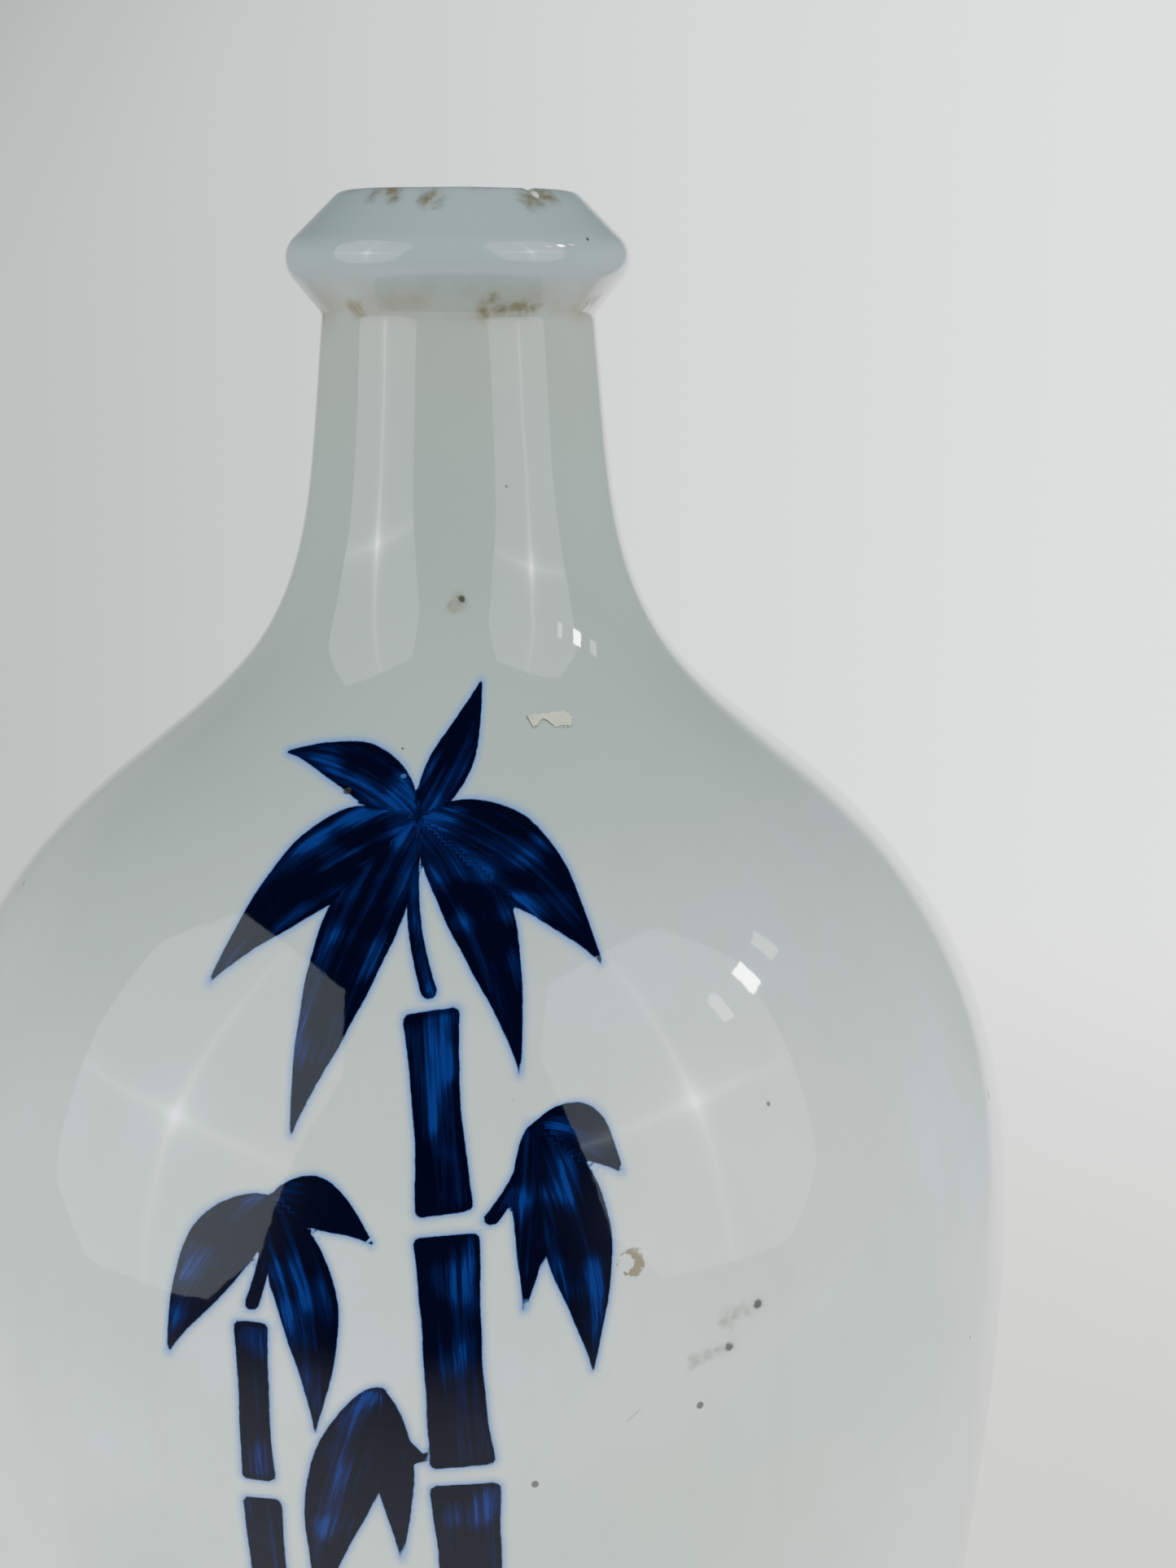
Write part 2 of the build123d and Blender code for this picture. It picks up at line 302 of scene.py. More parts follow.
def add_backdrop():
    """A pale studio all round: dim overhead and in front, and brighter to the right behind."""
    world = bpy.data.worlds.new("studio")
    bpy.context.scene.world = world
    world.use_nodes = True
    tree = world.node_tree
    background = tree.nodes["Background"]
    where = tree.nodes.new("ShaderNodeTexCoord")
    split = tree.nodes.new("ShaderNodeSeparateXYZ")
    tree.links.new(where.outputs["Generated"], split.inputs[0])
    right, back, up = split.outputs

    def ramp(value, low, high, start, end):
        node = tree.nodes.new("ShaderNodeMapRange")
        node.interpolation_type = "SMOOTHSTEP"
        numbers = {"From Min": low, "From Max": high, "To Min": start, "To Max": end}
        for name, number in numbers.items():
            node.inputs[name].default_value = number
        tree.links.new(value, node.inputs["Value"])
        return node.outputs[0]

    def maths(operation, a, b):
        node = tree.nodes.new("ShaderNodeMath")
        node.operation = operation
        tree.links.new(a, node.inputs[0])
        tree.links.new(b, node.inputs[1])
        return node.outputs[0]

    sides = ramp(back, *FRONT_EDGE, ROOM_SIDES * ROOM_FRONT, ROOM_SIDES)
    behind = ramp(right, *BEHIND_TURN, *ROOM_BEHIND)
    widened = maths("ADD", back, ramp(up, *BACKDROP_WIDENS))
    share = ramp(widened, *BACKDROP_EDGE, 0.0, 1.0)
    room = maths("ADD", sides, maths("MULTIPLY", share, maths("SUBTRACT", behind, sides)))
    room = maths("MULTIPLY", room, ramp(up, *CEILING_EDGE, 1.0, ROOM_OVERHEAD))
    tree.links.new(room, background.inputs["Strength"])
    tint = tree.nodes.new("ShaderNodeMix")
    tint.data_type = "RGBA"
    tree.links.new(ramp(up, *FLOOR_TINT_EDGE, 0.0, 1.0), tint.inputs[0])
    tint.inputs[6].default_value = WARM_TINT
    tint.inputs[7].default_value = COOL_TINT
    tree.links.new(tint.outputs[2], background.inputs["Color"])


# --- The glaze's outline -----------------------------------------------------------------------
# Outside of the clay, as (radius, height), from the heel to the crease under the lip: the same
# stations as the CAD model's.
HEEL_BEVEL = (53.6, 2.6)
BODY_STATIONS = [
    (55.3, 9.0),
    (62.2, 36.0),
    (68.2, 74.0),
    (70.9, 100.0),
    (71.9, 125.0),
    (70.0, 145.2),
    (63.1, 162.8),
    (51.8, 177.5),
    (37.5, 189.5),
    (25.4, 201.6),
    (20.2, 214.0),
    (18.3, 226.0),
    (16.8, 242.2),
]
LIP_NOSE = (22.4, 248.9)
LIP_TOP_EDGE = 14.6
TOP = 256.5
MOUTH_RADIUS = 12.0
CORNER_ROUNDS = (1.4, 3.4, 1.6, 1.2)  # crease, nose, top edge, mouth edge
GLAZE = 0.5
GLAZE_LINE = 3.4
GLAZE_TURN = TOP - 3.0

DENSE = 0.05  # mm between the points that the outline is worked out with
CREASE_RUN = 60  # how many of them, at the body's end, give way to the crease's rounding
ARC_POINTS = 40  # along each rounded corner
ROW_STEPS = [  # height, and the spacing of the rows of faces there
    (0.0, 1.8),
    (28.0, 1.8),
    (34.0, 1.65),
    (200.0, 1.65),
    (206.0, 1.8),
    (236.0, 1.6),
    (240.0, 0.55),
    (260.0, 0.55),
]
COLUMNS = 225
FINE = 3  # the painted faces are this many times smaller each way
SHELL_DEPTH = 0.9  # the coat's mesh goes this share of the way down to the clay


def body_curve(stations):
    """A natural cubic spline through the stations, as dense points."""
    knots = np.array(stations)
    spans = np.hypot(*np.diff(knots, axis=0).T)
    at = np.concatenate(([0.0], np.cumsum(spans)))
    system = np.eye(len(knots))
    load = np.zeros_like(knots)
    for i in range(1, len(knots) - 1):
        before, after = spans[i - 1], spans[i]
        system[i, i - 1 : i + 2] = before, 2 * (before + after), after
        load[i] = 6 * ((knots[i + 1] - knots[i]) / after - (knots[i] - knots[i - 1]) / before)
    bend = np.linalg.solve(system, load)
    along = np.arange(0, at[-1], DENSE)
    i = np.minimum(np.searchsorted(at, along, side="right") - 1, len(spans) - 1)
    span = spans[i][:, None]
    ahead = (at[i + 1] - along)[:, None]
    past = (along - at[i])[:, None]
    return (
        (bend[i] * ahead**3 + bend[i + 1] * past**3) / (6 * span)
        + (knots[i] / span - bend[i] * span / 6) * ahead
        + (knots[i + 1] / span - bend[i + 1] * span / 6) * past
    )


def rounded(points, rounds):
    """A line through the points with its inner corners rounded, as dense points."""
    line = [np.array(points[0])]
    for before, corner, after, radius in zip(points, points[1:], points[2:], rounds):
        into = np.array(corner) - before
        away = np.array(after) - corner
        into, away = into / np.hypot(*into), away / np.hypot(*away)
        turn = math.acos(np.clip(into @ away, -1, 1))
        setback = radius * math.tan(turn / 2)
        centre = corner + (away - into) / np.hypot(*(away - into)) * radius / math.cos(turn / 2)
        start = corner - into * setback - centre
        side = np.sign(into[0] * away[1] - into[1] * away[0])
        for angle in np.linspace(0, turn * side, ARC_POINTS):
            c, s = math.cos(angle), math.sin(angle)
            line.append(centre + (c * start[0] - s * start[1], s * start[0] + c * start[1]))
    line.append(np.array(points[-1]))
    return np.array(line)


def resampled(line, distances):
    run = np.concatenate(([0.0], np.cumsum(np.hypot(*np.diff(line, axis=0).T))))
    return np.column_stack([np.interp(distances, run, line[:, k]) for k in (0, 1)])


def length_of(line):
    return np.hypot(*np.diff(line, axis=0).T).sum()


def outline_rows():
    """The glaze's rows from the glaze line to inside the mouth, as (radius, height) points."""
    body = body_curve(BODY_STATIONS)
    corners = [
        tuple(body[-CREASE_RUN]),
        BODY_STATIONS[-1],
        LIP_NOSE,
        (LIP_TOP_EDGE, TOP),
        (MOUTH_RADIUS, TOP),
        (MOUTH_RADIUS, GLAZE_TURN - 1),
    ]
    clay = np.vstack([[HEEL_BEVEL], body[:-CREASE_RUN], rounded(corners, CORNER_ROUNDS)[1:]])
    clay = resampled(clay, np.arange(0, length_of(clay), DENSE))
    heading = np.gradient(clay, axis=0)
    heading /= np.hypot(*heading.T)[:, None]
    normal = np.column_stack([heading[:, 1], -heading[:, 0]])
    coat = clay + GLAZE * normal
    top = coat[:, 1].argmax()
    below_line = (np.arange(len(coat)) < top) & (coat[:, 1] < GLAZE_LINE)
    below_turn = (np.arange(len(coat)) > top) & (coat[:, 1] < GLAZE_TURN)
    coat = coat[~(below_line | below_turn)]
    spacing = np.interp(coat[:, 1], *np.array(ROW_STEPS).T)
    steps = np.hypot(*np.diff(coat, axis=0).T)
    count = np.concatenate(([0.0], np.cumsum(steps / spacing[1:])))
    rows = FINE * math.ceil(count[-1])
    at = np.linspace(0, count[-1], rows + 1)
    return np.column_stack([np.interp(at, count, coat[:, k]) for k in (0, 1)])


# --- Unevenness of the thrown and glazed surface -----------------------------------------------
FADE_ENDS = 6.0  # the unevenness dies away over this length at both ends of the coat
GLAZE_LINE_RISE = 1.6  # the glaze's lower edge wanders up by as much as this
GLAZE_LINE_REACH = 9.0
GLAZE_LINE_WAVES = (7, 1.0, 6)
GLAZE_ROLL = 0.32  # and rolls off towards the clay at its very edge
GLAZE_ROLL_REACH = 1.6
# How far the surface sinks, in mm, and how its waves go: most waves round, pitch and count
OVAL = (0.05, 0.8)  # and the angle, in radians, that sets which way it is out of round
SLOW_WAVES = (0.035, (3, 6.0, 7))
SHORT_WAVES = (0.020, (2, 1.4, 9))
LIP_WAVES = (0.07, (9, 3.0, 9))
LIP_WAVES_START = (236, 8)  # the height where the lip's waves begin, and how soon they are full
# Chips in the rim: azimuth, height, size, depth
RIM_CHIPS = [(45.0, 256.4, 1.3, 0.35), (-104.0, 256.2, 1.0, 0.3), (163.0, 250.0, 1.2, 0.25)]
CHIP_RADIUS = 15.0


def waves(azimuth, run, turns, pitch, count):
    """Smooth random unevenness from -1 to 1, with up to this many waves round the bottle."""
    total = 0
    for _ in range(count):
        around = RNG.integers(0, turns + 1)
        along = RNG.uniform(0.3, 1.0) / pitch
        phase = RNG.uniform(0, 2 * math.pi)
        total = total + np.sin(around * azimuth + RNG.choice([-1, 1]) * along * run + phase)
    return total / count


def hollows(azimuth, run, heights):
    """How far the surface lies inside the CAD outline."""
    sunk = OVAL[0] * (1 + np.sin(2 * azimuth + OVAL[1]))
    for depth, kind in (SLOW_WAVES, SHORT_WAVES):
        sunk = sunk + depth * (1 + waves(azimuth, run, *kind))
    depth, kind = LIP_WAVES
    near_lip = np.clip((heights - LIP_WAVES_START[0]) / LIP_WAVES_START[1], 0, 1)
    sunk = sunk + depth * near_lip * (1 + waves(azimuth, run, *kind))
    for where, height, size, depth in RIM_CHIPS:
        across = np.angle(np.exp(1j * (azimuth - math.radians(where)))) * CHIP_RADIUS
        away = np.hypot(across, heights - height) / size
        sunk = sunk + depth * np.clip(1 - away, 0, 1) ** 0.6
    ends = np.minimum(run, run.max() - run) / FADE_ENDS
    return sunk * np.clip(ends, 0, 1)


def coat_grid():
    """Points and normals of the glaze's surface: rows up the bottle by columns round it."""
    rows = outline_rows()
    run = np.concatenate(([0.0], np.cumsum(np.hypot(*np.diff(rows, axis=0).T))))
    heading = np.gradient(rows, axis=0)
    heading /= np.hypot(*heading.T)[:, None]
    azimuth = np.linspace(0, 2 * math.pi, COLUMNS * FINE, endpoint=False)[None, :]
    lift = GLAZE_LINE_RISE * (1 + waves(azimuth, 0 * azimuth, *GLAZE_LINE_WAVES)) / 2
    moved = run[:, None] + lift * np.clip(1 - run[:, None] / GLAZE_LINE_REACH, 0, 1)
    radius, height, out_r, out_z = (
        np.interp(moved, run, values)
        for values in (rows[:, 0], rows[:, 1], heading[:, 1], -heading[:, 0])
    )
    sunk = hollows(azimuth, moved, height)
    roll_off = GLAZE_ROLL * np.clip(1 - run / GLAZE_ROLL_REACH, 0, 1)[:, None] ** 2
    radius = radius - out_r * (sunk + roll_off)
    height = height - out_z * (sunk + roll_off)
    points = np.stack([radius * np.sin(azimuth), -radius * np.cos(azimuth), height], axis=-1)
    upward = np.gradient(points, axis=0)
    around = np.roll(points, -1, axis=1) - np.roll(points, 1, axis=1)
    normals = np.cross(around, upward)
    normals /= np.linalg.norm(normals, axis=-1)[..., None]
    return points, normals


def shell(name, cells, points, normals, attributes=None):
    """A coat of glaze over the chosen cells of the grid."""
    inner = points - normals * GLAZE * SHELL_DEPTH
    return patch(name, cells, points, inner, normals, attributes)


def patch(name, cells, outer, inner, normals, attributes=None):
    """A closed thin solid over the chosen cells of a grid, whose columns wrap round."""
    columns = cells.shape[1]
    wraps = outer.shape[1] == columns
    index = np.arange(outer[..., 0].size).reshape(outer.shape[:2])
    right = np.roll(index, -1, axis=1)
    if not wraps:
        index, right = index[:, :-1], right[:, :-1]
    outside = np.stack([index[:-1], right[:-1], right[1:], index[1:]], axis=-1)
    inside = outside + outer[..., 0].size
    nothing = np.zeros((1, columns), bool)
    beyond = [
        np.vstack([nothing, cells[:-1]]),
        np.roll(cells, -1, axis=1),
        np.vstack([cells[1:], nothing]),
        np.roll(cells, 1, axis=1),
    ]
    faces = [outside[cells], inside[cells][:, ::-1]]
    for k, neighbour in enumerate(beyond):
        edge = cells & ~neighbour
        out, back = outside[edge], inside[edge]
        n = (k + 1) % 4
        faces.append(np.stack([out[:, n], out[:, k], back[:, k], back[:, n]], axis=-1))
    used, faces = np.unique(np.vstack(faces), return_inverse=True)
    both = np.vstack([outer.reshape(-1, 3), inner.reshape(-1, 3)])
    facing = np.vstack([normals.reshape(-1, 3), -normals.reshape(-1, 3)])
    mesh = bpy.data.meshes.new(name)
    mesh.from_pydata((both[used] * MM).tolist(), [], faces.reshape(-1, 4).tolist())
    for title, values in (attributes or {}).items():
        flat = np.concatenate([values.ravel(), values.ravel()])[used]
        layer = mesh.attributes.new(title, "FLOAT", "POINT")
        layer.data.foreach_set("value", flat.astype(np.float32))
    mesh.shade_smooth()
    mesh.normals_split_custom_set_from_vertices(facing[used].tolist())
    piece = link(bpy.data.objects.new(name, mesh))
    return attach(piece, "root")


# --- The painted bamboo: x and z as seen from the front, the same strokes as the CAD model's ----
INTERNODES = [  # lower end, upper end, width at the ends
    ((11.5, 34.0), (10.6, 61.0), 8.4),
    ((10.5, 63.0), (9.6, 92.0), 8.2),
    ((9.5, 94.0), (8.4, 122.0), 7.8),
    ((8.2, 124.0), (6.4, 149.0), 7.2),
    ((6.2, 151.0), (3.8, 170.0), 6.2),
    ((-8.0, 38.0), (-10.0, 63.0), 5.2),
    ((-10.2, 65.0), (-12.0, 92.0), 5.0),
    ((-12.2, 94.0), (-13.7, 119.0), 4.6),
    ((-13.8, 121.0), (-14.4, 139.0), 4.0),
]
SPRAYS = [  # a twig as start, end, width and bow, and then its leaves as tip, width and bow
    (
        ((3.6, 171.0), (0.0, 187.0), 1.8, 1.0),
        [
            ((-21.5, 171.0), 7.0, -2.4),
            ((-10.5, 158.0), 7.4, -1.4),
            ((-17.0, 192.0), 4.8, -1.8),
            ((21.5, 173.5), 7.0, 2.6),
            ((13.5, 164.0), 6.0, 2.6),
            ((5.5, 200.0), 4.4, -0.8),
        ],
    ),
    (
        ((10.6, 150.0), (15.2, 159.5), 1.6, -0.8),
        [
            ((21.8, 134.0), 6.8, 1.6),
            ((24.5, 154.0), 4.4, 1.4),
            ((14.6, 141.0), 3.8, 0.4),
        ],
    ),
    (
        ((-14.4, 140.2), (-12.4, 152.0), 1.6, -0.6),
        [
            ((-24.0, 134.0), 6.4, -1.6),
            ((-7.4, 127.5), 6.2, 2.0),
            ((-1.2, 148.0), 4.4, 1.4),
        ],
    ),
    (
        ((4.0, 124.6), (-0.6, 133.0), 1.6, 0.8),
        [
            ((-7.8, 106.0), 7.0, -1.0),
            ((1.6, 113.0), 4.0, 0.4),
        ],
    ),
    (
        ((-15.4, 92.0), (-18.4, 102.0), 1.4, 0.6),
        [
            ((-22.5, 78.0), 6.0, -1.0),
            ((-17.2, 84.0), 3.6, 0.3),
        ],
    ),
    (
        ((14.5, 92.5), (16.8, 102.0), 1.4, -0.6),
        [
            ((21.8, 77.0), 6.8, 1.4),
            ((24.5, 97.0), 4.2, 1.2),
            ((15.9, 84.0), 3.2, 0.2),
        ],
    ),
]
SPRAY_KNOT = 1.1  # radius of the blot where a spray's leaves meet
INTERNODE_WAIST = 0.84  # width half way along an internode, against its ends
TWIG_TAPER = 0.35
LEAF_TIP = 0.15  # half-width where a leaf ends
LEAF_STALK = 0.45  # half-width where it starts
LEAF_SWELL = 0.7  # under 1, a leaf is widest before its middle
LEAF_POINT = 1.15  # over 1, its ends are drawn out
BRUSH_TREMBLE = 0.20  # mm that a stroke's sides wander
PAINT_MARGIN = 2.2  # the painted faces reach this far past the strokes
FAR = 40.0  # mm, the gap to a stroke that is nowhere near
BLOT_LENGTH = 0.01  # a knot's blot is a stroke with next to no length
STROKE_CORNER = 0.8  # most that a stroke's corners are rounded
THINNEST = 0.3  # half-width that a stroke's sides are worked out with, at least
STREAK_OFFSET = 100  # mm along the brush pattern from one stroke to the next


def leaf_width(width):
    def half(t):
        t = np.clip(t, 0, 1)
        blade = width / 2 * np.abs(np.sin(math.pi * t**LEAF_SWELL)) ** LEAF_POINT
        return blade + LEAF_STALK * (1 - t) + LEAF_TIP * t

    return half


def twig_width(width):
    return lambda t: width / 2 * (1 - TWIG_TAPER * np.clip(t, 0, 1))


def internode_width(width):
    return lambda t: width / 2 * (INTERNODE_WAIST + (1 - INTERNODE_WAIST) * (2 * t - 1) ** 2)


def all_strokes():
    """Every stroke as start, end, bow and a function for its half-width."""
    strokes = [(low, high, 0.0, internode_width(width)) for low, high, width in INTERNODES]
    for (start, knot, width, bow), leaves in SPRAYS:
        strokes.append((start, knot, bow, twig_width(width)))
        strokes.append((knot, (knot[0], knot[1] + BLOT_LENGTH), 0.0, lambda t: SPRAY_KNOT))
        strokes += [(knot, tip, bow, leaf_width(width)) for tip, width, bow in leaves]
    return strokes


def brush_marks(points):
    """For each point: mm outside the nearest stroke, and how far along and across it lies."""
    x, z = points[..., 0], points[..., 2]
    facing = points[..., 1] < 0
    gap = np.full(x.shape, FAR)
    along = np.zeros(x.shape)
    across = np.zeros(x.shape)
    load = np.zeros(x.shape)
    for number, (start, end, bow, half) in enumerate(all_strokes()):
        start, end = np.array(start), np.array(end)
        length = np.hypot(*(end - start))
        ahead = (end - start) / length
        left = np.array([-ahead[1], ahead[0]])
        run = (x - start[0]) * ahead[0] + (z - start[1]) * ahead[1]
        t = run / length
        within = np.clip(t, 0, 1)
        off = (x - start[0]) * left[0] + (z - start[1]) * left[1] - 4 * bow * within * (1 - within)
        side = np.sign(off)
        wander = np.sin(run * RNG.uniform(0.15, 0.35) + side + RNG.uniform(0, 6))
        wander = wander + 0.4 * np.sin(run * RNG.uniform(0.7, 1.1) - side * 2 + RNG.uniform(0, 6))
        width = half(within) + BRUSH_TREMBLE / 2 * wander * np.clip(half(within) / 2, 0, 1)
        beyond = np.maximum(-run, run - length)
        corner = np.minimum(width, STROKE_CORNER)
        dx = np.abs(off) - (width - corner)
        dz = beyond + corner
        outside = np.hypot(np.maximum(dx, 0), np.maximum(dz, 0))
        here = outside + np.minimum(np.maximum(dx, dz), 0) - corner
        nearer = here < gap
        gap = np.where(nearer, here, gap)
        along = np.where(nearer, run + STREAK_OFFSET * number, along)
        across = np.where(nearer, off, across)
        load = np.where(nearer, off / np.maximum(width, THINNEST), load)
    gap = np.where(facing, gap, FAR)
    return {"gap": gap, "along": along, "across": across, "side": load}


# --- Marks on the glaze --------------------------------------------------------------------------
CREASE_HEIGHT = 241.0  # marks given by height alone lie below this
MARK_RNG = np.random.default_rng(8)  # draws the blots of dirt and the scratches
# Pits that dirt has got into, as (azimuth, height, size), with a smear to the left of each.
PITS = [(33, 138, 0.55), (30, 134, 0.5), (7, 209, 0.45), (-98, 143, 0.5), (128, 88, 0.6)]
SMEAR_STEPS = (1, 2, 3)
SMEAR_STEP = (-1.1, -0.3)  # degrees round and mm up, from one blot of a smear to the next
SMEAR_SIZE = 0.4
CRESCENT = (21, 145, 1.15)  # a ring of brown scale, broken on one side
# Patches of dirt on the rim and in the crease under the lip: azimuth, half-width, blots.
RIM_PATCHES = [(-30, 9, 3), (0, 7, 2), (46, 12, 4), (150, 30, 3), (-115, 25, 2)]
CREASE_PATCHES = [(30, 15, 8), (70, 8, 3), (-60, 25, 2), (160, 35, 3)]
RIM_HEIGHTS = (255.0, 256.8)
CREASE_HEIGHTS = (241.8, 243.8)
RIM_BLOTS = (0.7, 1.6)  # least and greatest size
CREASE_BLOTS = (0.6, 1.2)
GRIME_AT = (18.2, 242.6)  # radius and height of the grime round each patch in the crease
GRIME_SHARE = 9  # degrees of a patch's half-width to a millimetre of grime
SCRATCH_COUNT = 12
SCRATCH_HEIGHTS = (80.0, 205.0)
SCRATCH_HALVES = (0.8, 3.2)
SCRATCH_LEAN = 80  # most that one leans from upright, either way
SCRATCH_EDGE = (0.14, 0.04)  # where its colour begins, and where it is full
# Scattered specks: spacing, greatest size, and how rare they are, from 0 to 1.
BLUE_SPECKS = (15.0, 0.55, 0.55)
IRON_SPECKS = (8.5, 0.55, 0.30)
SMALL_SPECKS = (11.0, 0.30, 0.55)
FAINT_SPECKS = (4.3, 0.16, 0.72)


def on_coat(points, marks):
    """Marks given as (azimuth, height, ...) on the body or neck, as (azimuth, radius, height, ...)."""
    crease = points.shape[0] - 1 - np.argmin(points[::-1, 0, 2] > CREASE_HEIGHT)
    placed = []
    for azimuth, height, *rest in marks:
        column = round(azimuth / 360 * points.shape[1]) % points.shape[1]
        line = points[:crease, column]
        radius = np.interp(height, line[:, 2], np.hypot(line[:, 0], line[:, 1]))
        placed.append((azimuth, float(radius), height, *rest))
    return placed


def blots(patches, heights, radius_at, sizes):
    """Blots of dirt by chance within each patch, as (azimuth, radius, height, size)."""
    placed = []
    for middle, half, count in patches:
        for _ in range(count):
            height = MARK_RNG.uniform(*heights)
            azimuth = middle + MARK_RNG.uniform(-half, half)
            placed.append((azimuth, radius_at(height), height, MARK_RNG.uniform(*sizes)))
    return placed


def upper_bevel(height):
    """Radius of the glazed bevel above the lip's nose."""
    slope = (LIP_NOSE[0] - LIP_TOP_EDGE) / (TOP - LIP_NOSE[1])
    return LIP_TOP_EDGE + GLAZE + slope * (TOP - height)


def lower_bevel(height):
    """Radius of the glazed bevel between the crease and the lip's nose."""
    radius, crease = BODY_STATIONS[-1]
    slope = (LIP_NOSE[0] - radius) / (LIP_NOSE[1] - crease)
    return radius + GLAZE + slope * max(height - crease, 0)


LIP_DIRT = blots(RIM_PATCHES, RIM_HEIGHTS, upper_bevel, RIM_BLOTS)
CREASE_DIRT = blots(CREASE_PATCHES, CREASE_HEIGHTS, lower_bevel, CREASE_BLOTS)
CREASE_GRIME = [(middle, *GRIME_AT, half / GRIME_SHARE) for middle, half, _ in CREASE_PATCHES]
SMEARS = [
    (azimuth + SMEAR_STEP[0] * step, height + SMEAR_STEP[1] * step, SMEAR_SIZE)
    for azimuth, height, _ in PITS
    for step in SMEAR_STEPS
]
SCRATCHES = [  # azimuth, height, half-length, lean from upright
    (
        MARK_RNG.uniform(-180, 180),
        MARK_RNG.uniform(*SCRATCH_HEIGHTS),
        MARK_RNG.uniform(*SCRATCH_HALVES),
        MARK_RNG.uniform(-SCRATCH_LEAN, SCRATCH_LEAN),
    )
    for _ in range(SCRATCH_COUNT)
]


def scratches(paint, marks):
    """Thin scratches on the surface, each (azimuth, radius, height, half-length, lean)."""
    masks = []
    for azimuth, radius, height, half, lean in marks:
        angle, tip = math.radians(azimuth), math.radians(lean)
        sideways = Vector((math.cos(angle), math.sin(angle), 0))
        along = sideways * math.sin(tip) + Vector((0, 0, math.cos(tip)))
        middle = tuple(from_axis(azimuth, radius, height) / MM)
        offset = paint.vector("SUBTRACT", paint.place, middle)
        run = paint.vector("DOT_PRODUCT", offset, tuple(along))
        flat = paint.vector("SUBTRACT", offset, paint.vector("SCALE", tuple(along), scale=run))
        line = paint.ramp(paint.vector("LENGTH", flat), *SCRATCH_EDGE)
        masks.append(paint.times(line, paint.ramp(paint.math("ABSOLUTE", run), half, half * 0.6)))
    return paint.most(*masks)


def scatter(paint, spacing, size, rarity):
    """Small specks all over, one to a cell of this spacing at most."""
    node = paint.add("ShaderNodeTexVoronoi", {"Vector": paint.place, "Scale": 1 / spacing})
    chance = paint.add("ShaderNodeSeparateColor", {0: node.outputs["Color"]}).outputs
    radius = paint.ramp(chance[0], rarity, 1.0, 0.0, size / spacing)
    return paint.ramp(paint.math("SUBTRACT", radius, node.outputs["Distance"]), 0.0, 0.1 / spacing)


# --- Glazed surface ------------------------------------------------------------------------------
GREY_GREEN = srgb(195, 208, 200)
MILKY = srgb(210, 218, 219)
CREAM = srgb(206, 206, 192)
RUN_TONE = srgb(182, 190, 178)
NECK_TONE = srgb(155, 167, 158)
LIP_TONE = srgb(148, 162, 165)
POOL_TONE = srgb(172, 196, 190)
FILM_TONE = srgb(136, 124, 104)
GRIME_TONE = srgb(124, 116, 92)
# Colour of the painted shade on the neck just below the lip's overhang
UNDER_LIP_SHADE_TONE = srgb(160, 154, 138)
DIRT_TONE = srgb(104, 92, 64)
HALO_TONE = srgb(128, 130, 126)
SMEAR_TONE = srgb(118, 106, 76)
SCALE_TONE = srgb(118, 100, 62)
BLUE_TONE = srgb(58, 88, 140)
IRON_TONE = srgb(52, 42, 34)
SCRATCH_TONE = srgb(110, 108, 102)
PINHOLE_TONE = srgb(150, 160, 170)
GLAZE_ROUGHNESS = 0.035
COBALT_THICK = (0.0006, 0.0009, 0.010, 1)
COBALT_MIDDLE = (0.0016, 0.0050, 0.045, 1)
COBALT_THIN = (0.0060, 0.0220, 0.150, 1)
COBALT_HALO = (0.1600, 0.2700, 0.560, 1)
INKED_GLOSS = 0.26  # the gloss over the dark pigment, where the plain glaze has 0.5


def glaze_colour(paint, height):
    """Milky and grey-green clouds, duller up the neck, bluer on the lip and where it pools."""
    base = paint.mix(paint.ramp(paint.noise(32, detail=1), 0.3, 0.7), GREY_GREEN, MILKY)
    mottle = paint.ramp(paint.noise(7, detail=3), 0.35, 0.75, 0, 0.4)
    base = paint.mix(mottle, base, GREY_GREEN)
    drifts = paint.ramp(paint.noise(45, detail=1), 0.42, 0.62, 0, 0.35)
    base = paint.mix(drifts, base, CREAM)
    drawn_out = paint.vector("MULTIPLY", paint.place, (1.0, 1.0, 0.12))
    runs = paint.ramp(paint.noise(4, detail=3, at=drawn_out), 0.45, 0.75, 0, 0.13)
    base = paint.mix(runs, base, RUN_TONE)
    base = paint.mix(paint.ramp(height, 140, 215), base, NECK_TONE)
    base = paint.mix(paint.ramp(height, 238, 248, 0.0, 0.8), base, LIP_TONE)
    level = paint.math("ADD", height, paint.times(paint.noise(22, detail=1), 12.0))
    return paint.mix(paint.times(paint.ramp(level, 26, 8), 0.55), base, POOL_TONE)


def lip_dirt_and_shade(paint, height, base):
    """A thin film of old dirt on the rim and under the lip, and painted shade on the neck just below the
    lip.
    """
    haze = paint.times(
        paint.ramp(height, 240.0, 242.8),
        paint.ramp(height, 247.5, 243.5),
        paint.ramp(paint.noise(5, detail=3), 0.3, 0.7),
    )
    uneven = paint.ramp(paint.noise(4, detail=3), 0.45, 0.7)
    rim = paint.times(paint.ramp(height, 255.2, 257.0), uneven)
    film = paint.most(paint.times(haze, 0.62), paint.times(rim, 0.50))
    base = paint.mix(film, base, FILM_TONE)
    grime = paint.spots(CREASE_GRIME, 6.0, warp=3.0, warp_size=4.0)
    base = paint.mix(paint.times(grime, 0.42), base, GRIME_TONE)
    # Painted shade: the neck darkens smoothly towards the overhanging lip, where the lip shades it
    under_lip_shade = paint.times(paint.ramp(height, 222, 241), paint.ramp(height, 247, 243))
    return paint.mix(paint.times(under_lip_shade, 0.30), base, UNDER_LIP_SHADE_TONE)


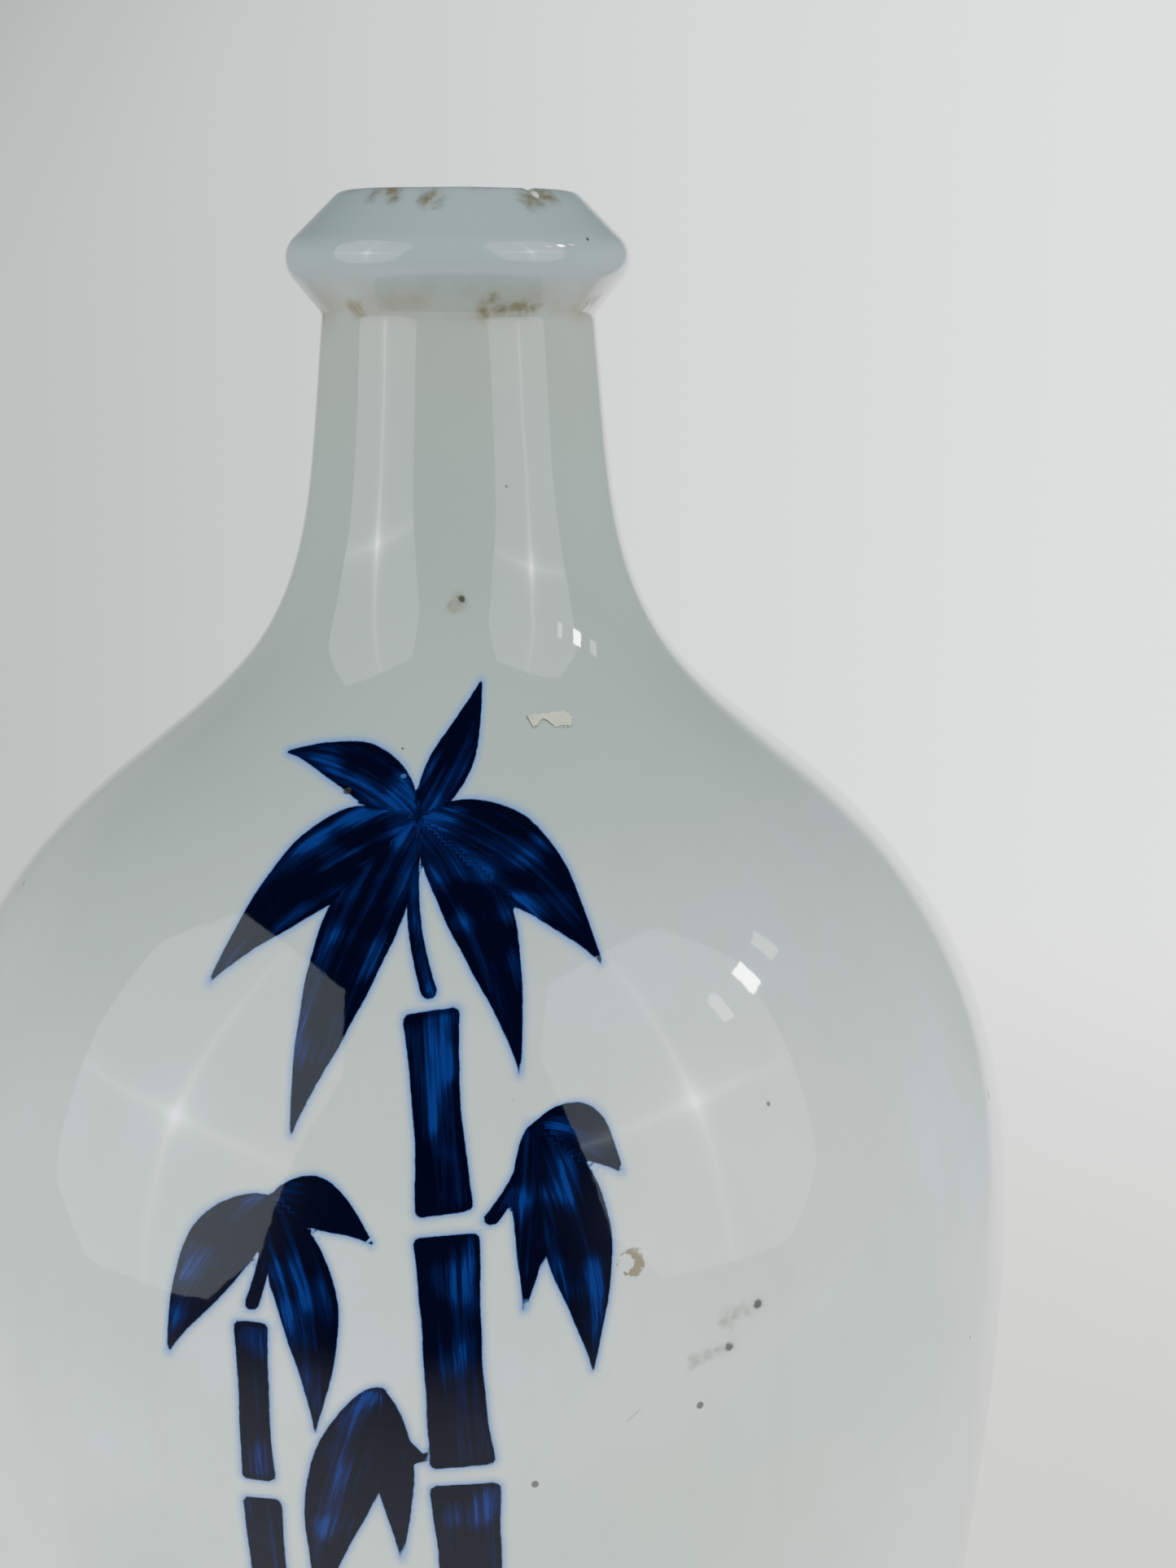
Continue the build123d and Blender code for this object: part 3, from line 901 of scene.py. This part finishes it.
def crescent(paint, points):
    """A mask for the ring of brown scale: ragged, and thicker to the right."""
    azimuth, radius, height, size = on_coat(points, [CRESCENT])[0]
    middle = tuple(from_axis(azimuth, radius, height) / MM)
    away = paint.math("SUBTRACT", paint.vector("DISTANCE", paint.place, middle), size)
    angle = math.radians(azimuth)
    sideways = (math.cos(angle), math.sin(angle), 0)
    right = paint.vector("DOT_PRODUCT", paint.vector("SUBTRACT", paint.place, middle), sideways)
    thick = paint.ramp(right, -size, size, 0.05, 0.62)
    ragged = paint.times(paint.math("SUBTRACT", paint.noise(0.5, detail=2), 0.5), 1.1)
    inside = paint.add_up(thick, ragged, paint.times(paint.math("ABSOLUTE", away), -1.0))
    return paint.ramp(inside, -0.10, 0.20)


def glaze_finish(name, points, painted=False):
    """Glossy blue-white glaze with specks and stains and painted shade under the lip, over cobalt
    brushwork if painted.
    """
    paint = Finish(name)
    height = paint.add("ShaderNodeSeparateXYZ", {0: paint.place}).outputs[2]
    base = glaze_colour(paint, height)
    if painted:
        base = brushwork(paint, base)
    base = lip_dirt_and_shade(paint, height, base)

    cloud = paint.ramp(paint.noise(1.5, detail=3), 0.20, 0.60)
    dirt = paint.most(
        paint.spots(LIP_DIRT, 2.2, warp=1.5, warp_size=1.2),
        paint.spots(CREASE_DIRT, 1.9, warp=1.5, warp_size=1.2),
    )
    base = paint.mix(paint.times(dirt, cloud, 0.95), base, DIRT_TONE)
    halo = paint.spots(on_coat(points, PITS), 3.0)
    base = paint.mix(paint.times(halo, 0.42), base, HALO_TONE)
    smudge = paint.spots(on_coat(points, SMEARS), 2.2, warp=2.6, warp_size=1.5)
    base = paint.mix(paint.times(smudge, 0.85), base, SMEAR_TONE)
    base = paint.mix(paint.times(crescent(paint, points), 0.85), base, SCALE_TONE)

    base = paint.mix(paint.times(scatter(paint, *BLUE_SPECKS), 0.8), base, BLUE_TONE)
    iron = scatter(paint, *IRON_SPECKS)
    pits = paint.spots(on_coat(points, PITS), 0.4, warp=0.4, warp_size=0.5)
    small = paint.times(scatter(paint, *SMALL_SPECKS), 0.7)
    faint = paint.times(scatter(paint, *FAINT_SPECKS), 0.45)
    dark = paint.most(iron, pits, small, faint)
    base = paint.mix(paint.times(dark, 0.85), base, IRON_TONE)
    worn = scratches(paint, on_coat(points, SCRATCHES))
    base = paint.mix(paint.times(worn, 0.55), base, SCRATCH_TONE)

    dulled = paint.times(paint.most(dirt, worn, smudge), 0.25)
    paint.set(base_color=base, roughness=paint.add_up(dulled, GLAZE_ROUGHNESS))
    paint.relief(
        paint.add_up(
            paint.times(paint.noise(16, detail=1), 0.10),
            paint.times(paint.noise(2.2, detail=1), 0.006),
            paint.times(paint.noise(0.45, detail=1), 0.0007),
            paint.times(paint.most(iron, pits, small), -0.06),
            paint.times(dirt, cloud, 0.04),
        )
    )
    return paint.material


def brushwork(paint, base):
    """Cobalt brushed on under the glaze, over the colour base."""
    gap, along, across = (paint.attribute(name) for name in ("gap", "along", "across"))
    side = paint.attribute("side")
    tremble = paint.times(paint.math("SUBTRACT", paint.noise(0.8, detail=2), 0.5), 0.16)
    edge = paint.math("ADD", gap, tremble)
    strokes = paint.add("ShaderNodeCombineXYZ", {0: across, 1: paint.times(along, 0.045)})
    streak = paint.noise(0.50, detail=4, roughness=0.65, at=strokes.outputs[0])
    wide_streak = paint.noise(1.6, detail=1, at=strokes.outputs[0])
    pool = paint.noise(7.0, detail=1)
    thickness = paint.add_up(
        paint.ramp(streak, 0.30, 0.66, 0.0, 0.42),
        paint.ramp(wide_streak, 0.35, 0.62, 0.0, 0.40),
        paint.ramp(pool, 0.32, 0.60, -0.10, 0.45),
        paint.times(side, 0.16),
        paint.ramp(edge, -0.9, -0.15, 0.0, 0.28),
    )
    pigment = paint.mix(paint.ramp(thickness, 0.10, 0.46), COBALT_THIN, COBALT_MIDDLE)
    pigment = paint.mix(paint.ramp(thickness, 0.34, 0.86), pigment, COBALT_THICK)
    pinholes = paint.times(scatter(paint, 1.7, 0.10, 0.80), 0.5)
    pigment = paint.mix(pinholes, pigment, PINHOLE_TONE)
    halo = paint.ramp(edge, 1.5, -0.1, 0.0, 1.0)
    base = paint.mix(paint.math("POWER", halo, 2.4), base, COBALT_HALO)
    inked = paint.ramp(edge, 0.10, -0.10)
    paint.set(specular_ior_level=paint.ramp(inked, 0.0, 1.0, 0.5, INKED_GLOSS))
    return paint.mix(inked, base, pigment)


# --- Clay, the inner glaze and the paper scrap -----------------------------------------------------
def clay_finish():
    """Bare porcelain with turning marks and ground-in dirt, which shows at the foot."""
    paint = Finish("bare_porcelain")
    spread = paint.vector("MULTIPLY", paint.place, (1.0, 1.0, 5.0))
    base = paint.mix(paint.noise(5, detail=4), srgb(214, 205, 190), srgb(196, 184, 166))
    grit = scatter(paint, 1.9, 0.16, 0.55)
    base = paint.mix(paint.times(grit, 0.7), base, srgb(110, 92, 72))
    worn = paint.ramp(paint.noise(9, detail=3), 0.45, 0.70, 0.0, 0.6)
    base = paint.mix(worn, base, srgb(168, 150, 124))
    radius = paint.vector("LENGTH", paint.vector("MULTIPLY", paint.place, (1.0, 1.0, 0.0)))
    rings = paint.math("SINE", paint.add_up(paint.times(radius, 9.0), paint.noise(12)))
    paint.set(base_color=base, roughness=0.82)
    paint.relief(
        paint.add_up(
            paint.times(rings, 0.015),
            paint.times(paint.noise(0.6, detail=3), 0.05),
            paint.times(paint.noise(2.2, detail=2, at=spread), 0.06),
            paint.times(grit, -0.05),
        )
    )
    return paint.material


def hidden_glaze_finish(name, tone, stained):
    """The glaze inside the bottle or under its base, with a stained mouth if asked."""
    paint = Finish(name)
    height = paint.add("ShaderNodeSeparateXYZ", {0: paint.place}).outputs[2]
    base = paint.mix(paint.noise(18, detail=2), tone, srgb(205, 207, 199))
    specks = scatter(paint, 5.0, 0.35, 0.5)
    if stained:
        film = paint.times(paint.ramp(height, 212, 252), paint.ramp(paint.noise(6, detail=4), 0.30, 0.65))
        base = paint.mix(paint.times(film, 0.75), base, srgb(132, 116, 88))
    base = paint.mix(paint.times(specks, 0.7), base, srgb(70, 56, 44))
    paint.set(base_color=base, roughness=paint.ramp(paint.noise(8, detail=2), 0.3, 0.7, 0.06, 0.16))
    paint.relief(
        paint.add_up(
            paint.times(paint.noise(13, detail=1), 0.10),
            paint.times(paint.noise(2.0, detail=1), 0.01),
            paint.times(specks, -0.06),
        )
    )
    return paint.material


LABEL_AZIMUTH = 26.7
LABEL_HEIGHT = 195.2
LABEL_SIZE = (5.5, 2.5)
LABEL_CELL = 0.08
LABEL_THICKNESS = (0.09, 0.14)  # worn thin, and whole
LABEL_BITE = 1.1  # how far left of its middle the lower edge is torn away
BITE_DEPTH = 1.25
BITE_REACH = 0.85
LABEL_MARGIN = 0.2  # the grid reaches this far past the paper
LABEL_GLUED = 0.05  # the paper's underside lies this far inside the glaze
WORN_FROM = 0.2  # right of this the paper gets thin
WORN_OVER = 0.8
FOLD_AT = 0.1
FOLD_WIDTH = 0.12
FOLD_DEPTH = 0.07
PAPER_GRAIN = 0.03


def grid_noise(shape, size):
    """Smooth seeded noise from 0 to 1 on a grid, with features this many cells across."""
    coarse = RNG.random([math.ceil(n / size) + 2 for n in shape])
    rows, columns = (np.arange(n) / size for n in shape)
    r, c = rows.astype(int)[:, None], columns.astype(int)[None, :]
    fr, fc = (rows % 1)[:, None], (columns % 1)[None, :]
    fr, fc = fr * fr * (3 - 2 * fr), fc * fc * (3 - 2 * fc)
    low = coarse[r, c] * (1 - fc) + coarse[r, c + 1] * fc
    high = coarse[r + 1, c] * (1 - fc) + coarse[r + 1, c + 1] * fc
    return low * (1 - fr) + high * fr


def surface_at(points, normals, row, column):
    """Points and normals of the coat between the grid's own, by row and column."""
    i, j = row.astype(int), column.astype(int)
    fi, fj = (row - i)[..., None], (column - j)[..., None]
    i2, j2 = i + 1, (j + 1) % points.shape[1]
    found = []
    for field in (points, normals):
        low = field[i, j] * (1 - fj) + field[i, j2] * fj
        high = field[i2, j] * (1 - fj) + field[i2, j2] * fj
        found.append(low * (1 - fi) + high * fi)
    return found


def add_label(points, normals):
    """A torn scrap of paper stuck to the shoulder, creased, with its right half worn thin."""
    wide, tall = LABEL_SIZE
    across = np.arange(-wide / 2 - LABEL_MARGIN, wide / 2 + LABEL_MARGIN, LABEL_CELL)
    up = np.arange(-tall / 2 - LABEL_MARGIN, tall / 2 + LABEL_MARGIN, LABEL_CELL)
    column_of_middle = LABEL_AZIMUTH / 360 * points.shape[1]
    line = points[:, round(column_of_middle)]
    row_of_middle = np.argmax(line[:, 2] > LABEL_HEIGHT)
    radius = np.hypot(*line[row_of_middle, :2])
    row_step = np.linalg.norm(line[row_of_middle + 1] - line[row_of_middle])
    column_step = 2 * math.pi * radius / points.shape[1]
    row = row_of_middle + up[:, None] / row_step + 0 * across[None, :]
    column = column_of_middle + across[None, :] / column_step + 0 * up[:, None]
    places, facing = surface_at(points, normals, row, column)

    x, y = across[None, :] + 0 * up[:, None], up[:, None] + 0 * across[None, :]
    ragged = grid_noise(x.shape, 3) - 0.5
    left = -wide / 2 - 0.28 * y
    kept = (x > left) & (x < wide / 2 - 0.4 * np.abs(y) + 0.5 * ragged)
    kept &= y < tall / 2 - 0.15 + 0.06 * x
    bite = BITE_DEPTH * np.exp(-(((x + LABEL_BITE) / BITE_REACH) ** 2))
    kept &= y > -tall / 2 + 0.15 + bite + 0.45 * ragged
    kept[[0, -1]] = False
    kept[:, [0, -1]] = False
    worn = np.clip((x - WORN_FROM) / WORN_OVER, 0, 1)
    depth = LABEL_THICKNESS[1] + (LABEL_THICKNESS[0] - LABEL_THICKNESS[1]) * worn
    fold = FOLD_DEPTH * np.exp(-(((x - FOLD_AT) / FOLD_WIDTH) ** 2))
    depth = depth - fold + PAPER_GRAIN * grid_noise(x.shape, 2.5)
    top = places + facing * depth[..., None]
    cells = kept[:-1, :-1] & kept[1:, 1:] & kept[:-1, 1:] & kept[1:, :-1]
    bottom = places - facing * LABEL_GLUED
    label = patch("paper_scrap", cells, top, bottom, facing)
    label.data.materials.append(paper_finish())
    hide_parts("label_scrap")


def paper_finish():
    paint = Finish("old_paper")
    base = paint.mix(paint.noise(0.9, detail=3), srgb(214, 211, 190), srgb(188, 184, 156))
    stain = paint.ramp(paint.noise(1.7, detail=2), 0.5, 0.7, 0, 0.5)
    base = paint.mix(stain, base, srgb(172, 174, 160))
    fibres = paint.noise(0.25, detail=3, distortion=1.5)
    paint.set(base_color=base, roughness=0.85)
    paint.relief(paint.times(fibres, 0.03))
    return paint.material


points, normals = coat_grid()
marks = brush_marks(points)
coarse_rows = (points.shape[0] - 1) // FINE
gap = marks["gap"]
near = gap < PAINT_MARGIN
near_cells = near[:-1] | near[1:]
near_cells = near_cells | np.roll(near_cells, -1, axis=1)
painted = near_cells.reshape(coarse_rows, FINE, COLUMNS, FINE).any(axis=(1, 3))
fine_painted = np.kron(painted, np.ones((FINE, FINE), bool)).astype(bool)

glaze = shell("glazed_surface", ~painted, points[::FINE, ::FINE], normals[::FINE, ::FINE])
glaze.data.materials.append(glaze_finish("clear_glaze_surface", points))
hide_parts("outer_glaze")

brushed = shell("brushed_cobalt", fine_painted, points, normals, marks)
brushed.data.materials.append(glaze_finish("cobalt_under_glaze", points, painted=True))
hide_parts("cobalt_painting")

add_label(points, normals)
clay = clay_finish()
for name in ("lower_body", "upper_body", "neck", "lip_collar"):
    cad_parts[name].material_slots[0].material = clay
finishes = {
    "inner_glaze": hidden_glaze_finish("stained_inner_glaze", srgb(188, 192, 182), stained=True),
    "base_glaze": hidden_glaze_finish("base_glaze_surface", srgb(196, 203, 198), stained=False),
}
for name, finish in finishes.items():
    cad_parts[name].material_slots[0].material = finish

add_camera()
for index, softbox in enumerate(SOFTBOXES):
    add_softbox(f"softbox_{index}", *softbox)
for index, window in enumerate(WINDOWS):
    add_panel(f"window_{index}", *window)
add_floor()
add_backdrop()

for piece in (glaze, brushed):
    print(piece.name, len(piece.data.polygons) * 2, "triangles")
